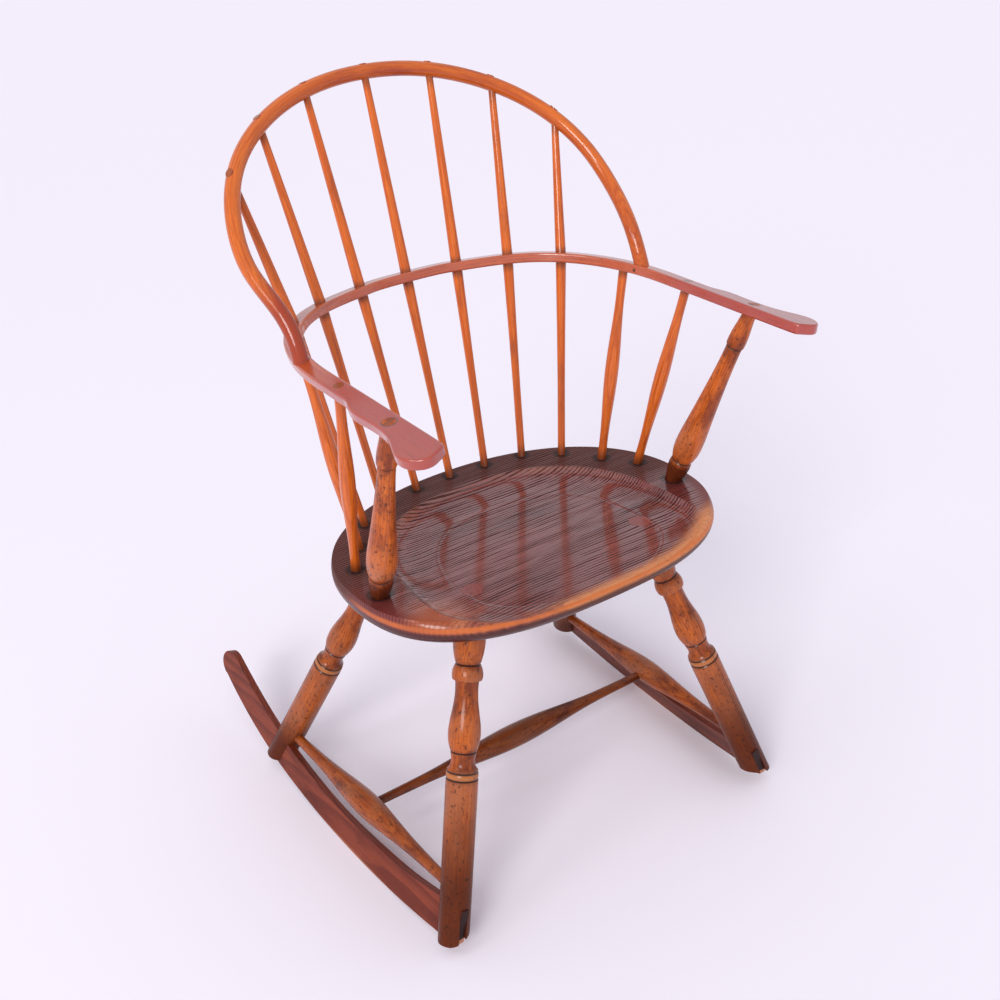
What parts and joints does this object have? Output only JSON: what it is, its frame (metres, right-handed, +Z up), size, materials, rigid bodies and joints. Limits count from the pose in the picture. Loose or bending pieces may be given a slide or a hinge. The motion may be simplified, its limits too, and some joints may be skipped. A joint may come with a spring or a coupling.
{
  "type": "rocking chair",
  "caption": "Wooden arm chair on rockers with a saddled plank seat, turned splayed legs, a bent arm rail and a spindle back closed by a bent hoop.",
  "frame": {"origin": "centre of the bounding box on the floor, between the rockers' running edges", "axes": "+Z up, -Y towards the front edge of the seat, +X to the sitter's left; the chair is the same on both sides of X = 0"},
  "size_m": [0.5214, 0.6292, 0.8809],
  "materials": {
    "seat_plank": "dark red-brown stain, glossy worn varnish",
    "arm_wood": "red-brown stain, glossy varnish",
    "hoop_wood": "amber-brown stain, satin varnish",
    "turned_wood": "brown stain, satin varnish",
    "rocker_wood": "red-brown stain, worn satin varnish",
    "peg_wood": "dark stained end grain"
  },
  "bodies": {
    "root": {"seat": "seat_plank", "arm_rail": "arm_wood", "hand_block_right": "arm_wood", "hand_block_left": "arm_wood", "bow": "hoop_wood", "long_spindle_right_outer": "hoop_wood", "long_spindle_right_wide": "hoop_wood", "long_spindle_right_inner": "hoop_wood", "long_spindle_left_outer": "hoop_wood", "long_spindle_left_wide": "hoop_wood", "long_spindle_left_inner": "hoop_wood", "long_spindle_centre": "hoop_wood", "arm_spindle_right": "hoop_wood", "arm_spindle_left": "hoop_wood", "corner_spindle_right": "hoop_wood", "corner_spindle_left": "hoop_wood", "arm_post_right": "turned_wood", "arm_post_left": "turned_wood", "front_leg_right": "turned_wood", "front_leg_left": "turned_wood", "rear_leg_right": "turned_wood", "rear_leg_left": "turned_wood", "side_stretcher_right": "turned_wood", "side_stretcher_left": "turned_wood", "medial_stretcher": "turned_wood", "rocker_right": "rocker_wood", "rocker_left": "rocker_wood", "post_wedges": "peg_wood", "bow_pins": "peg_wood"}
  },
  "joints": []
}
